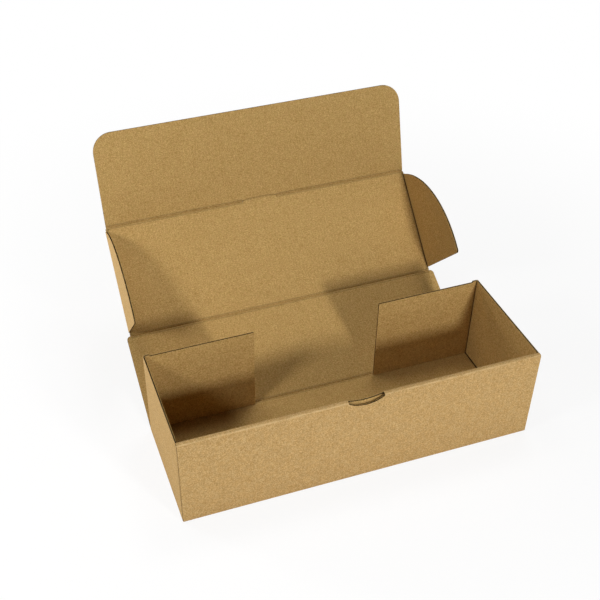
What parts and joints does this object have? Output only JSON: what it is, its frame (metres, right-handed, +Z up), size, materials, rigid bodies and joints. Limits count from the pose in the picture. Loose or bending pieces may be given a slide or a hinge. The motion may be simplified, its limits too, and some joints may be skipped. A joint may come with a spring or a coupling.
{
  "type": "corrugated mailer box",
  "caption": "Long corrugated mailer box standing open, with a roll-over front wall with a thumb notch, rear dust flaps and a hinged lid with ears and a tuck flap.",
  "frame": {"origin": "centre of the base's underside, on the surface that the box stands on", "axes": "+X along the front wall to the right, +Y from the front wall to the rear wall, +Z up"},
  "size_m": [0.31, 0.2899, 0.1986],
  "materials": {
    "kraft_board": "matte"
  },
  "bodies": {
    "tray": {"tray": "kraft_board"},
    "left_rear_dust_flap": {"left_rear_dust_flap": "kraft_board"},
    "right_rear_dust_flap": {"right_rear_dust_flap": "kraft_board"},
    "rear_wall": {"rear_wall": "kraft_board"},
    "lid": {"lid": "kraft_board"},
    "tuck_flap": {"tuck_flap": "kraft_board"},
    "left_ear": {"left_ear": "kraft_board"},
    "right_ear": {"right_ear": "kraft_board"}
  },
  "joints": [
    {"name": "rear_wall_fold", "type": "hinge", "parent": "tray", "child": "rear_wall", "pos_m": [0, 0.0547, 0.0008], "axis": [1, 0, 0], "range_deg": [-27.5, 62.5]},
    {"name": "lid_fold", "type": "hinge", "parent": "rear_wall", "child": "lid", "pos_m": [0, 0.134, 0.04208], "axis": [1, 0, 0], "range_deg": [-16.5, 73.5]},
    {"name": "tuck_fold", "type": "hinge", "parent": "lid", "child": "tuck_flap", "pos_m": [0, 0.20867, 0.11419], "axis": [1, 0, 0], "range_deg": [-29.5, 60.5]},
    {"name": "left_ear_fold", "type": "hinge", "parent": "lid", "child": "left_ear", "pos_m": [-0.151, 0.134, 0.04208], "axis": [0, 0.7193, 0.6947], "range_deg": [-89, 1]},
    {"name": "right_ear_fold", "type": "hinge", "parent": "lid", "child": "right_ear", "pos_m": [0.151, 0.134, 0.04208], "axis": [0, -0.7193, -0.6947], "range_deg": [-89, 1]},
    {"name": "left_dust_fold", "type": "hinge", "parent": "tray", "child": "left_rear_dust_flap", "pos_m": [-0.15325, 0.05165, 0.0008], "axis": [0, 0, 1], "range_deg": [-85, 0]},
    {"name": "right_dust_fold", "type": "hinge", "parent": "tray", "child": "right_rear_dust_flap", "pos_m": [0.15325, 0.05165, 0.0008], "axis": [0, 0, -1], "range_deg": [-85, 0]}
  ]
}
